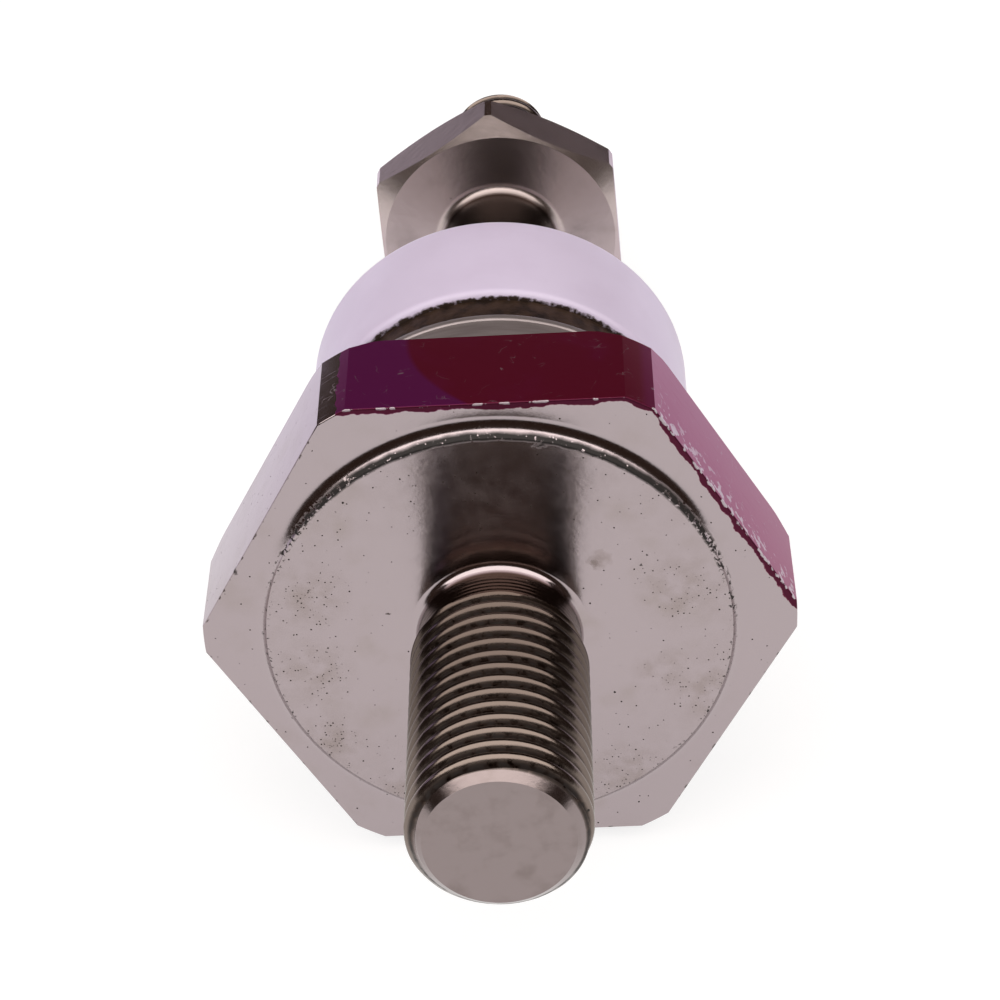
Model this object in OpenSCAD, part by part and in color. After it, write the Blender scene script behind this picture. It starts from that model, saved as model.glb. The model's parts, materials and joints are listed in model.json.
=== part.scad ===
// Stud rectifier diode: a nickel-plated hex base with its mounting stud, a welded case,
// a ceramic insulator and a rigid threaded terminal, with the pressure-contact stack inside.
// Each piece is drawn upright on the stud axis, with the seat at height 0 and the stud below it.
// at_rest() then lays the whole diode on its side, on a hex flat and a corner of the terminal collar.

/* [Mounting stud] */
// Major diameter of the mounting thread
stud_d = 9.53; // [8:0.01:12]
// Length of the stud below the seat
stud_l = 17.4; // [12:0.1:24]
// Chamfer at the end of the stud
stud_chamfer = 0.88; // [0.4:0.01:1.2]
// How far the plain neck above the thread is cut back from the major radius
neck_step = 0.4; // [0.2:0.01:0.6]
// Length of the plain neck above the thread
neck_l = 2.3; // [1.5:0.1:4]
// Fillet where the neck meets the seat
neck_fillet = 0.5; // [0.2:0.01:0.8]

/* [Hex base] */
// Width of the base across its flats
hex_af = 28.6; // [27:0.1:34]
// How much the corners are turned down from the sharp hex, on the radius
hex_corner_cut = 0.48; // [0.3:0.01:1]
// Thickness of the hex
hex_t = 6.7; // [5:0.1:10]
// Bevel turned on the far edge of the corners
hex_bevel = 0.6; // [0.3:0.01:1]
// Diameter of the flat seat
seat_d = 25.1; // [20:0.1:26]
// Height of the seat over the hex face
seat_h = 0.62; // [0.4:0.01:0.9]
// Width of the cove round the seat
seat_cove = 1; // [0.6:0.01:1.2]
// Height of the chip pedestal over the hex
pedestal_h = 0.8; // [0.4:0.05:1.5]

/* [Case and seal] */
// Outer diameter of the case ring
case_d = 22.7; // [20:0.1:26]
// Height of the weld ledge over the hex
case_h = 7.25; // [6:0.05:9]
// Round on the outer edge of the weld ledge
case_round = 0.35; // [0.1:0.01:0.6]
// Wall of the case ring round the springs
case_wall = 1.2; // [0.9:0.05:1.5]
// How far the seal flange stays inside the edge of the weld ledge
flange_set = 0.5; // [0.2:0.05:0.6]
// Thickness of the seal flange on the ledge
flange_t = 0.7; // [0.4:0.05:1.2]
// Height of the neck of the seal flange over its foot
flange_neck_h = 2.1; // [1:0.05:3]
// Wall of the neck of the seal flange
flange_wall = 1.5; // [0.8:0.05:1.8]
// How far the ceramic stays inside the edge of the weld ledge
ceramic_set = 0.25; // [0.1:0.05:0.6]
// Wall of the ceramic
ceramic_wall = 2.05; // [1.8:0.05:2.5]
// Height of the ceramic
ceramic_h = 8.7; // [8:0.05:16]
// Round on the edge of the ceramic next to the base
ceramic_round_low = 0.5; // [0.2:0.05:0.8]
// Round on the edge of the ceramic next to the terminal
ceramic_round_top = 1; // [0.4:0.05:1.4]
// How far the seal cap stays inside the edge of the ceramic
cap_set = 1.4; // [1.4:0.05:2]
// Thickness of the sheet of the seal cap
cap_t = 0.8; // [0.5:0.05:1.2]
// Height of the collar of the seal cap round the post
cap_collar_h = 2.6; // [1.5:0.1:4]
// Gap between the case ring and the ceramic round it
seal_gap = 0.25; // [0.1:0.05:0.4]
// Gap of the brazed joint between the cap and the post
braze_gap = 0.05; // [0.02:0.01:0.1]

/* [Terminal] */
// Diameter of the plain neck of the terminal post
post_d = 7.1; // [6.6:0.02:9]
// Length of the neck from the seal cap to the collar
post_l = 15.95; // [10:0.05:30]
// How far the post reaches down below the seal cap
post_inset = 2; // [1:0.1:3]
// Fillet where the neck meets the collar
post_fillet = 0.7; // [0.3:0.05:1]
// Width of the hex collar across its flats
collar_af = 15.2; // [13:0.1:19]
// Thickness of the hex collar
collar_t = 3.4; // [2.6:0.05:5]
// How far the chamfer of the collar comes in from its flats
collar_face_set = 0.2; // [0.1:0.05:0.5]
// Angle of the chamfer turned on the collar
collar_chamfer_angle = 30; // [15:1:35]
// Turn of the collar from a corner straight down, anticlockwise seen from the stud
collar_turn = 2.3; // [-15:0.1:15]
// Major diameter of the terminal thread
tip_d = 6.35; // [5:0.01:8]
// Length of the threaded end over the collar
tip_l = 11.7; // [8:0.05:20]
// Round at the end of the terminal
tip_round = 1.1; // [0.5:0.05:1.5]

/* [Pressure contact] */
// Gap between the chip stack and the case ring
stack_gap = 0.6; // [0.3:0.05:1]
// Gap between the case ring and what it centres
centre_gap = 0.15; // [0.05:0.01:0.25]
// Thickness of the lower molybdenum disc
lower_disc_t = 1.2; // [0.8:0.05:2]
// How far the wafer stays inside the lower disc
wafer_set = 0.5; // [0.2:0.05:0.8]
// Thickness of the silicon wafer
wafer_t = 0.4; // [0.25:0.01:0.6]
// How far the upper disc stays inside the wafer
upper_disc_set = 0.9; // [0.5:0.05:1.2]
// Thickness of the upper molybdenum disc
upper_disc_t = 0.8; // [0.5:0.05:1.2]
// How far the rubber ring rises on the upper disc
rubber_rise = 0.5; // [0.2:0.05:0.5]
// How far the contact button stays inside the upper disc
button_set = 0.3; // [0.1:0.05:0.8]
// Thickness of the contact button
button_t = 1.4; // [1:0.05:2]
// Diameter of the stem of the contact button
stem_d = 5.4; // [5:0.05:6.4]
// How far the stem rises over the case ring
stem_proud = 1.5; // [0.5:0.1:2.5]
// Running gap round the stem and round the bush
stem_gap = 0.1; // [0.05:0.01:0.2]
// Wall of the insulating bush
bush_wall = 0.5; // [0.3:0.05:0.8]
// Thickness of the flange of the insulating bush
bush_flange_t = 0.6; // [0.4:0.05:1]
// Thickness of the thrust washer
washer_t = 1; // [0.6:0.05:1.5]
// Thickness of one disc spring
spring_t = 0.7; // [0.5:0.05:1]
// Height of the cone of a disc spring
spring_cone = 0.4; // [0.2:0.05:0.6]
// Thickness of the retaining ring
retainer_t = 1; // [0.7:0.05:1.5]
// Width of the retaining ring inside the case ring
retainer_w = 2; // [1.5:0.05:2.4]
// Depth of the groove for the retaining ring
groove_depth = 0.5; // [0.3:0.05:0.6]
// Wall of the case ring over the groove
groove_lip = 0.7; // [0.5:0.05:1.2]
// Gap between the retaining ring and the bottom of its groove
retainer_gap = 0.05; // [0.02:0.01:0.1]
// Opening of the retaining ring
retainer_split = 4; // [2:0.1:6]
// Diameter of the copper lead in its sockets
lead_d = 3.4; // [2.5:0.05:3.6]
// How far the slack strands of the lead swell between the sockets
lead_swell = 0.6; // [0.2:0.05:0.7]
// Depth of the sockets for the lead
socket_depth = 4; // [2:0.1:5]
// Gap between the lead and its sockets
socket_gap = 0.05; // [0.02:0.01:0.1]

/* [Hidden] */
$fn = 96;
// Overlap that keeps a cut or a joined cylinder clear of a shared face
eps = 0.01;
// Corner radius of a hex for each millimetre of half its width across flats
hex_corner = 1 / cos(30);

// Radii, from the outside in
hex_corner_r = hex_af / 2 * hex_corner - hex_corner_cut;
cove_r = (seat_cove^2 + seat_h^2) / (2 * seat_h);
ceramic_r = case_d / 2 - ceramic_set;
ceramic_bore_r = ceramic_r - ceramic_wall;
spigot_r = ceramic_bore_r - seal_gap;
case_bore_r = spigot_r - case_wall;
pedestal_r = case_bore_r - centre_gap;
lower_disc_r = case_bore_r - stack_gap;
wafer_r = lower_disc_r - wafer_set;
upper_disc_r = wafer_r - upper_disc_set;
button_r = upper_disc_r - button_set;
bush_bore_r = stem_d / 2 + stem_gap;
bush_r = bush_bore_r + bush_wall;
spring_bore_r = bush_r + stem_gap;
spring_r = case_bore_r - centre_gap;
groove_r = case_bore_r + groove_depth;
flange_neck_r = ceramic_bore_r + flange_wall;
lead_r = lead_d / 2;
socket_r = lead_r + socket_gap;
collar_r = collar_af / 2 * hex_corner;
collar_face_r = collar_af / 2 - collar_face_set;
collar_chamfer_h = (collar_r - collar_face_r) * tan(collar_chamfer_angle);

// Heights, from the seat up
hex_top = seat_h + hex_t;
pedestal_top = hex_top + pedestal_h;
wafer_z = pedestal_top + lower_disc_t;
upper_disc_z = wafer_z + wafer_t;
button_z = upper_disc_z + upper_disc_t;
bush_z = button_z + button_t;
washer_z = bush_z + bush_flange_t;
spring_z = washer_z + washer_t;
spring_count = 3;
retainer_z = spring_z + spring_count * spring_t + spring_cone;
spigot_top = retainer_z + retainer_t + groove_lip;
stem_top = spigot_top + stem_proud;
ledge_z = hex_top + case_h;
ceramic_z = ledge_z + flange_t + flange_neck_h;
ceramic_top = ceramic_z + ceramic_h;
post_z = ceramic_top - post_inset;
collar_z = ceramic_top + cap_t + post_l;
collar_top = collar_z + collar_t;
tip_top = collar_top + tip_l;
lead_z = stem_top - socket_depth;
lead_top = post_z + socket_depth;

// Rest on the far edge of a hex flat and on a corner of the collar
rest_drop = hex_af / 2 - collar_r * cos(collar_turn);
rest_tilt = atan(rest_drop / (collar_top - collar_chamfer_h - hex_top));
rest_lift = hex_af / 2 * cos(rest_tilt) + hex_top * sin(rest_tilt);
front_reach = stud_l * cos(rest_tilt) + (stud_d / 2 - stud_chamfer) * sin(rest_tilt);
back_reach = (tip_top - tip_round) * cos(rest_tilt) + (tip_d / 2 - tip_round) * sin(rest_tilt) + tip_round;
rest_mid = (back_reach - front_reach) / 2;

// Lays an upright piece down where the whole diode comes to rest
module at_rest() {
    translate([0, -rest_mid, rest_lift])
        rotate([-90 - rest_tilt, 0, 0])
            children();
}

// Tube or disc from height z, with an optional bore
module ring(r, bore_r, z, h) {
    translate([0, 0, z])
        difference() {
            cylinder(r = r, h = h);
            if (bore_r > 0)
                translate([0, 0, -eps])
                    cylinder(r = bore_r, h = h + 2 * eps);
        }
}

// What a round takes off the outer corner of a profile at r and z, on its upper or lower end
module corner_cut(r, z, radius, lower = false) {
    translate([r, z])
        mirror([0, lower ? 1 : 0])
            translate([-radius, -radius])
                difference() {
                    square(radius + eps);
                    circle(r = radius);
                }
}

// Fillet round a shaft of radius r where it runs up into a face at height z
module root_fillet(r, z, radius) {
    rotate_extrude()
        translate([r, z])
            difference() {
                translate([-radius, -radius])
                    square([2 * radius, radius + eps]);
                translate([radius, -radius])
                    circle(r = radius);
            }
}

// Upright hex prism, its flats facing the Y axis unless it is turned
module hex_prism(af, z, h, turn = 0) {
    translate([0, 0, z])
        rotate(turn)
            cylinder(r = af / 2 * hex_corner, h = h, $fn = 6);
}

// Hex of the base with its corners turned round and beveled on the far edge
module base_hex() {
    intersection() {
        hex_prism(hex_af, seat_h, hex_t);
        rotate_extrude()
            polygon([
                [0, seat_h],
                [hex_corner_r, seat_h],
                [hex_corner_r, hex_top - hex_bevel],
                [hex_corner_r - hex_bevel, hex_top],
                [0, hex_top]
            ]);
    }
}

// Raised seat with the cove that runs out into the hex face
module seat() {
    rotate_extrude()
        difference() {
            square([seat_d / 2 + seat_cove, seat_h + eps]);
            translate([seat_d / 2 + seat_cove, seat_h - cove_r])
                circle(r = cove_r);
        }
}

// Stud with its plain neck, the fillet at the seat and the chamfer at the end
module stud() {
    stud_r = stud_d / 2;
    neck_r = stud_r - neck_step;
    rotate_extrude()
        polygon([
            [0, -stud_l],
            [stud_r - stud_chamfer, -stud_l],
            [stud_r, stud_chamfer - stud_l],
            [stud_r, -neck_l - neck_step],
            [neck_r, -neck_l],
            [neck_r, seat_h],
            [0, seat_h]
        ]);
    root_fillet(neck_r, 0, neck_fillet);
}

module stud_base() {
    color("silver") {
        base_hex();
        seat();
        stud();
        translate([0, 0, hex_top - eps])
            cylinder(r = pedestal_r, h = pedestal_h + eps);
    }
}

// Ring with the weld ledge outside and the wall round the springs inside
module case_ring() {
    color("darkgray")
        difference() {
            union() {
                rotate_extrude()
                    difference() {
                        translate([0, hex_top])
                            square([case_d / 2, case_h]);
                        corner_cut(case_d / 2, ledge_z, case_round);
                    }
                translate([0, 0, hex_top])
                    cylinder(r = spigot_r, h = spigot_top - hex_top);
            }
            translate([0, 0, hex_top - eps])
                cylinder(r = case_bore_r, h = spigot_top - hex_top + 2 * eps);
            translate([0, 0, retainer_z])
                cylinder(r = groove_r, h = retainer_t);
        }
}

// Foot on the weld ledge and neck under the ceramic
module seal_flange() {
    color("dimgray") {
        ring(case_d / 2 - flange_set, ceramic_bore_r, ledge_z, flange_t);
        ring(flange_neck_r, ceramic_bore_r, ledge_z + flange_t, flange_neck_h);
    }
}

module ceramic_insulator() {
    color("lavender")
        rotate_extrude()
            difference() {
                translate([ceramic_bore_r, ceramic_z])
                    square([ceramic_wall, ceramic_h]);
                corner_cut(ceramic_r, ceramic_top, ceramic_round_top);
                corner_cut(ceramic_r, ceramic_z, ceramic_round_low, true);
            }
}

// Flat cap on the ceramic with a drawn collar round the post
module seal_cap() {
    bore_r = post_d / 2 + braze_gap;
    color("dimgray") {
        ring(ceramic_r - cap_set, bore_r, ceramic_top, cap_t);
        ring(bore_r + cap_t, bore_r, ceramic_top + cap_t, cap_collar_h);
    }
}

// Hex collar with its corners chamfered on both faces
module collar() {
    turned_r = collar_r + eps;
    intersection() {
        hex_prism(collar_af, collar_z, collar_t, 30 - collar_turn);
        rotate_extrude()
            polygon([
                [0, collar_z],
                [collar_face_r, collar_z],
                [turned_r, collar_z + collar_chamfer_h],
                [turned_r, collar_top - collar_chamfer_h],
                [collar_face_r, collar_top],
                [0, collar_top]
            ]);
    }
}

// Neck with the socket for the lead, hex collar and threaded end with its round tip
module terminal_post() {
    color("silver")
        difference() {
            union() {
                translate([0, 0, post_z])
                    cylinder(d = post_d, h = collar_z - post_z + eps);
                root_fillet(post_d / 2, collar_z, post_fillet);
                collar();
                rotate_extrude()
                    difference() {
                        translate([0, collar_top - eps])
                            square([tip_d / 2, tip_l + eps]);
                        corner_cut(tip_d / 2, tip_top, tip_round);
                    }
            }
            translate([0, 0, post_z - eps])
                cylinder(r = socket_r, h = socket_depth + eps);
        }
}

module lower_molybdenum_disc() {
    color("slategray")
        ring(lower_disc_r, 0, pedestal_top, lower_disc_t);
}

module silicon_wafer() {
    color("darkslategray")
        ring(wafer_r, 0, wafer_z, wafer_t);
}

// Rubber over the edge of the wafer, between the two discs
module junction_seal_ring() {
    color("white")
        rotate_extrude()
            polygon([
                [upper_disc_r, upper_disc_z],
                [wafer_r, upper_disc_z],
                [wafer_r, wafer_z],
                [lower_disc_r, wafer_z],
                [lower_disc_r, upper_disc_z],
                [upper_disc_r + rubber_rise, upper_disc_z + rubber_rise],
                [upper_disc_r, upper_disc_z + rubber_rise]
            ]);
}

module upper_molybdenum_disc() {
    color("slategray")
        ring(upper_disc_r, 0, upper_disc_z, upper_disc_t);
}

// Button on the upper disc and the stem with the socket for the lead
module contact_button() {
    color("peru")
        difference() {
            union() {
                ring(button_r, 0, button_z, button_t);
                ring(stem_d / 2, 0, button_z, stem_top - button_z);
            }
            translate([0, 0, lead_z])
                cylinder(r = socket_r, h = socket_depth + eps);
        }
}

// Bush between the stem and the springs, its flange on the button
module insulating_bush() {
    color("ivory") {
        ring(button_r, bush_bore_r, bush_z, bush_flange_t);
        ring(bush_r, bush_bore_r, bush_z, spigot_top - bush_z);
    }
}

module thrust_washer() {
    color("gray")
        ring(spring_r, spring_bore_r, washer_z, washer_t);
}

// One of the nested cones, counted from the washer up
module disc_spring(index) {
    color("steelblue")
        translate([0, 0, spring_z + index * spring_t])
            rotate_extrude()
                polygon([
                    [spring_bore_r, 0],
                    [spring_r, spring_cone],
                    [spring_r, spring_cone + spring_t],
                    [spring_bore_r, spring_t]
                ]);
}

// Split ring that holds the springs down
module retaining_ring() {
    outer_r = groove_r - retainer_gap;
    color("gray")
        difference() {
            ring(outer_r, case_bore_r - retainer_w, retainer_z, retainer_t);
            translate([0, -retainer_split / 2, retainer_z - eps])
                cube([outer_r + eps, retainer_split, retainer_t + 2 * eps]);
        }
}

// Rope of copper strands, slack between its sockets
module flexible_lead() {
    slack = post_z - stem_top;
    steps = 12;
    swell = [
        for (i = [0 : steps])
            [lead_r + lead_swell * (1 - cos(360 * i / steps)) / 2, stem_top + slack * i / steps]
    ];
    color("chocolate")
        rotate_extrude()
            polygon(concat([[0, lead_z], [lead_r, lead_z]], swell, [[lead_r, lead_top], [0, lead_top]]));
}

at_rest() stud_base();
at_rest() case_ring();
at_rest() seal_flange();
at_rest() ceramic_insulator();
at_rest() seal_cap();
at_rest() terminal_post();
at_rest() lower_molybdenum_disc();
at_rest() silicon_wafer();
at_rest() junction_seal_ring();
at_rest() upper_molybdenum_disc();
at_rest() contact_button();
at_rest() insulating_bush();
at_rest() thrust_washer();
at_rest() disc_spring(0);  // disc_spring_1
at_rest() disc_spring(1);  // disc_spring_2
at_rest() disc_spring(2);  // disc_spring_3
at_rest() retaining_ring();
at_rest() flexible_lead();
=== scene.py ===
"""Looks of a stud rectifier diode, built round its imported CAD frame.

The outer pieces are meshed again in the diode's own upright frame, in millimetres, with the seat at height 0,
the stud below it and the terminal above. The record's mounts say how that frame lies in the row frame.
The sealed inner pieces stay as the CAD has them and only get their finishes.
"""

import json
import logging
import math
from collections.abc import Callable, Sequence
from dataclasses import astuple, dataclass
from enum import Enum
from functools import partial

import bmesh
import bpy
from mathutils import Euler, Matrix, Vector


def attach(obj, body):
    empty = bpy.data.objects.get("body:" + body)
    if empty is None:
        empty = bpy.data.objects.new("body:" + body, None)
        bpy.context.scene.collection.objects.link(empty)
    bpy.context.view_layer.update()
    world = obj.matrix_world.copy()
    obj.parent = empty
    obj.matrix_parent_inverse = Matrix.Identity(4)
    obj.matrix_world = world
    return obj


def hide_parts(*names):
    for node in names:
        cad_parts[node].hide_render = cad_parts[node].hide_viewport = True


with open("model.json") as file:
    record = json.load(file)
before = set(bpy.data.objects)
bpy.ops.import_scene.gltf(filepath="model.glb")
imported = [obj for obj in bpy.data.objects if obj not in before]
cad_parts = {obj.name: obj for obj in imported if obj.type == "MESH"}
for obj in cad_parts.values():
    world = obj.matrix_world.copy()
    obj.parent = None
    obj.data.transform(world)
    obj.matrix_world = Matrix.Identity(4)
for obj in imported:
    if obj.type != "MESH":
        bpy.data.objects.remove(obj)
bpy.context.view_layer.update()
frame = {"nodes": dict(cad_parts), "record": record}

LOG = logging.getLogger("stud_diode")
MM = 0.001
BODY = "root"
# Steps of a quarter turn in a rounded corner, of a full turn in a turned piece, and of a thread
ARC_STEPS = 6
TURN_STEPS = 192
PITCH_STEPS, THREAD_TURN_STEPS = 16, 160
# Edges that bend more than this stay crisp
CRISP_ANGLE = math.radians(22)
THREAD_CRISP_ANGLE = math.radians(40)
# Points closer than this are one, and faces thinner than this are dropped, in millimetres
WELD_MM, SLIVER_MM = 1e-4, 1e-5
# How far inside its rim a flat face gets one more ring, in millimetres
FACE_RING = 1.0
SIXTH = math.pi / 3
# Sockets of the Mix node
FLOAT_A, FLOAT_B, COLOUR_A, COLOUR_B, COLOUR_OUT = 2, 3, 6, 7, 2

Point = tuple[float, float]
Ring = Callable[[float], Point]
Socket = bpy.types.NodeSocket
Mesh = bpy.types.Mesh
Material = bpy.types.Material
Colour = tuple[float, float, float, float]


def srgb(code: str) -> Colour:
    """Linear colour of an sRGB hex value.

    Args:
        code: Colour such as "#aabbcc".

    Returns:
        Red, green, blue and an alpha of 1.
    """
    shares = [int(code[i:i + 2], 16) / 255 for i in (1, 3, 5)]
    linear = [s / 12.92 if s <= 0.04045 else ((s + 0.055) / 1.055) ** 2.4 for s in shares]
    return (*linear, 1.0)


def add(tree: bpy.types.NodeTree, kind: str, *values: object, named: dict | None = None,
        out: int | str = 0, **settings: object) -> Socket | None:
    """Adds a node with its settings and links.

    Args:
        tree: Tree that gets the node.
        kind: Type name of the node, where ShaderNode at its start is left out, or a Math node's operation.
        values: Values or sockets of the first inputs, in order.
        named: Values or sockets of other inputs, by name or index.
        out: Output that is wanted, by name or index.
        settings: Properties of the node.

    Returns:
        That output, or None where the node has none.
    """
    if kind.isupper():
        kind, settings["operation"] = "Math", kind
    node = tree.nodes.new(kind if "Node" in kind else "ShaderNode" + kind)
    for name, setting in settings.items():
        setattr(node, name, setting)
    for socket, value in (dict(enumerate(values)) | (named or {})).items():
        if isinstance(value, Socket):
            tree.links.new(value, node.inputs[socket])
        else:
            node.inputs[socket].default_value = value
    return node.outputs[out] if node.outputs else None


@dataclass(frozen=True)
class Axes:
    """The diode's upright frame in the row frame: seat centre, and the turn that lays it down."""

    origin: Vector
    turn: Euler

    @classmethod
    def from_mounts(cls, mounts: Sequence[dict]) -> "Axes":
        """Reads the frame from the record's mounts.

        Args:
            mounts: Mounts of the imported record, with the stud's axis and the seat's plane.

        Returns:
            The frame, with X across the hex, Y down at rest and Z from the stud to the terminal.
        """
        named = {mount["name"]: mount for mount in mounts}
        upward = -Vector(named["stud"]["axis"]).normalized()
        stud = Vector(named["stud"]["pos_m"])
        seat = Vector(named["seat"]["pos_m"])
        right = Vector((1.0, 0.0, 0.0))
        turn = Matrix((right, upward.cross(right), upward)).transposed()
        return cls(stud + upward * (seat - stud).dot(upward), turn.to_euler())

    def matrix(self) -> Matrix:
        """Matrix from millimetres in the upright frame to metres in the row frame."""
        return Matrix.LocRotScale(self.origin, self.turn, Vector((MM, MM, MM)))

    def place(self, x: float, up: float, along: float) -> Vector:
        """Row-frame place of a point given in millimetres right, up as it lies, and along the axis."""
        return self.matrix() @ Vector((x, -up, along))


AXES = Axes.from_mounts(frame["record"]["mounts"])


@dataclass(frozen=True)
class Corner:
    """Corner of a turned outline, in millimetres, with the radius that rounds it."""

    r: float
    z: float
    round: float = 0.0


def rounded(corners: Sequence[Corner], closed: bool) -> list[Point]:
    """Outline with its corners rounded by arcs.

    Args:
        corners: Corners in order.
        closed: Whether the last corner runs on to the first.

    Returns:
        Radius and height of each point.
    """
    points: list[Point] = []
    last = len(corners) - 1
    for i, corner in enumerate(corners):
        here = Vector((corner.r, corner.z))
        if corner.round == 0 or (not closed and i in (0, last)):
            points.append((corner.r, corner.z))
            continue
        before, after = corners[i - 1], corners[(i + 1) % len(corners)]
        back = (Vector((before.r, before.z)) - here).normalized()
        ahead = (Vector((after.r, after.z)) - here).normalized()
        half = back.angle(ahead) / 2
        centre = here + (back + ahead).normalized() * corner.round / math.sin(half)
        start = here + back * corner.round / math.tan(half) - centre
        end = here + ahead * corner.round / math.tan(half) - centre
        sweep = math.atan2(start.x * end.y - start.y * end.x, start.dot(end))
        for step in range(ARC_STEPS + 1):
            arm = Matrix.Rotation(sweep * step / ARC_STEPS, 2) @ start
            points.append((centre.x + arm.x, centre.y + arm.y))
    return points


@dataclass(frozen=True)
class Hex:
    """Plan of a hex with its corners turned to a circle, in millimetres and radians."""

    across_flats: float
    corner_r: float
    turn: float

    @classmethod
    def turned(cls, across_flats: float, corner_cut: float, turn: float) -> "Hex":
        """Hex whose sharp corners are turned off by a cut."""
        return cls(across_flats, across_flats / 2 / math.cos(math.pi / 6) - corner_cut, turn)

    def radius(self, angle: float) -> float:
        """Radius of the outline at an angle."""
        off = (angle - self.turn + SIXTH / 2) % SIXTH - SIXTH / 2
        return min(self.across_flats / 2 / math.cos(off), self.corner_r)

    def angles(self) -> list[float]:
        """Angles of a full turn that fall on both ends of each flat."""
        flat_steps, corner_steps = 26, 6
        reach = math.acos(self.across_flats / 2 / self.corner_r)
        gap = SIXTH - 2 * reach
        flat = [-reach + 2 * reach * i / flat_steps for i in range(flat_steps)]
        corner = [reach + gap * i / corner_steps for i in range(corner_steps)]
        return [self.turn + side * SIXTH + off for side in range(6) for off in flat + corner]

    def rim(self, inset: float, z: float) -> Ring:
        """Ring that follows the outline, inside it by an inset."""
        return lambda angle: (self.radius(angle) - inset, z)

    def edge(self, z: float, radius: float) -> list[Ring]:
        """Rings of a rounded edge between a face and the sides that run up from it.

        Args:
            z: Height of the face.
            radius: Radius of the edge.

        Returns:
            Rings from the face to the sides.
        """
        steps = [math.pi / 2 * i / ARC_STEPS for i in range(ARC_STEPS + 1)]
        return [self.rim(radius * (1 - math.sin(a)), z + radius * (1 - math.cos(a))) for a in steps]

    def cone(self, face_r: float, z: float, inward: float, slope: float) -> list[Ring]:
        """Rings of a chamfer turned on the corners, from the face out to the sides.

        Args:
            face_r: Radius at which the chamfer leaves the face.
            z: Height of the face.
            inward: +1 where the sides run up from the face, -1 where they run down.
            slope: Tangent of the chamfer's angle to the face.

        Returns:
            The two rings.
        """
        def inner(angle: float) -> Point:
            return min(face_r, self.radius(angle)), z

        def outer(angle: float) -> Point:
            reach = self.radius(angle)
            return reach, z + inward * max(0.0, reach - face_r) * slope

        return [inner, outer]


def rings(points: Sequence[Point]) -> list[Ring]:
    """Round rings through the points of an outline."""
    return [lambda angle, point=point: point for point in points]


def revolve(name: str, outline: Sequence[Ring], angles: Sequence[float], closed: bool) -> Mesh:
    """Mesh of an outline carried round the stud axis.

    Args:
        name: Name of the mesh.
        outline: Rings in order, each giving radius and height at an angle.
        angles: Angles of a full turn.
        closed: Whether the last ring joins the first, as in a tube. Else both ends are on the axis.

    Returns:
        A closed mesh in the row frame with its faces outwards.
    """
    work = bmesh.new()
    loops = []
    for ring in outline:
        corners = [(*ring(angle), angle) for angle in angles]
        loops.append([work.verts.new((r * math.cos(a), r * math.sin(a), z)) for r, z, a in corners])
    pairs = list(zip(loops, loops[1:]))
    if closed:
        pairs.append((loops[-1], loops[0]))
    for low, high in pairs:
        for i in range(len(angles)):
            j = (i + 1) % len(angles)
            work.faces.new((low[i], low[j], high[j], high[i]))
    mesh = bpy.data.meshes.new(name)
    close(work, mesh, CRISP_ANGLE)
    return mesh


def close(work: bmesh.types.BMesh, mesh: Mesh, crisp: float) -> None:
    """Merges doubles, turns the faces outwards and lays the mesh down in the row frame.

    Args:
        work: Mesh in the upright frame, which is freed.
        mesh: Mesh that takes the result.
        crisp: Angle over which an edge stays crisp.
    """
    bmesh.ops.remove_doubles(work, verts=work.verts, dist=WELD_MM)
    bmesh.ops.dissolve_degenerate(work, edges=work.edges, dist=SLIVER_MM)
    bmesh.ops.recalc_face_normals(work, faces=work.faces)
    for face in work.faces:
        face.smooth = True
    work.to_mesh(mesh)
    work.free()
    mesh.transform(AXES.matrix())
    mesh.set_sharp_from_angle(angle=crisp)


def piece(mesh: Mesh, material: Material, node: str) -> None:
    """Puts a finished mesh on the body in place of its CAD node.

    Args:
        mesh: Mesh in the row frame.
        material: Its finish.
        node: CAD node that it stands for.
    """
    mesh.materials.clear()
    mesh.materials.append(material)
    made = bpy.data.objects.new(mesh.name, mesh)
    bpy.context.scene.collection.objects.link(made)
    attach(made, BODY)
    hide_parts(node)
    LOG.info("%s: %d faces, stands for %s", made.name, len(mesh.polygons), node)


class ThreadEnd(Enum):
    """How the free end of a thread is turned: exponent of its outline."""

    CHAMFER = 1.0
    DOME = 2.0


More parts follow.
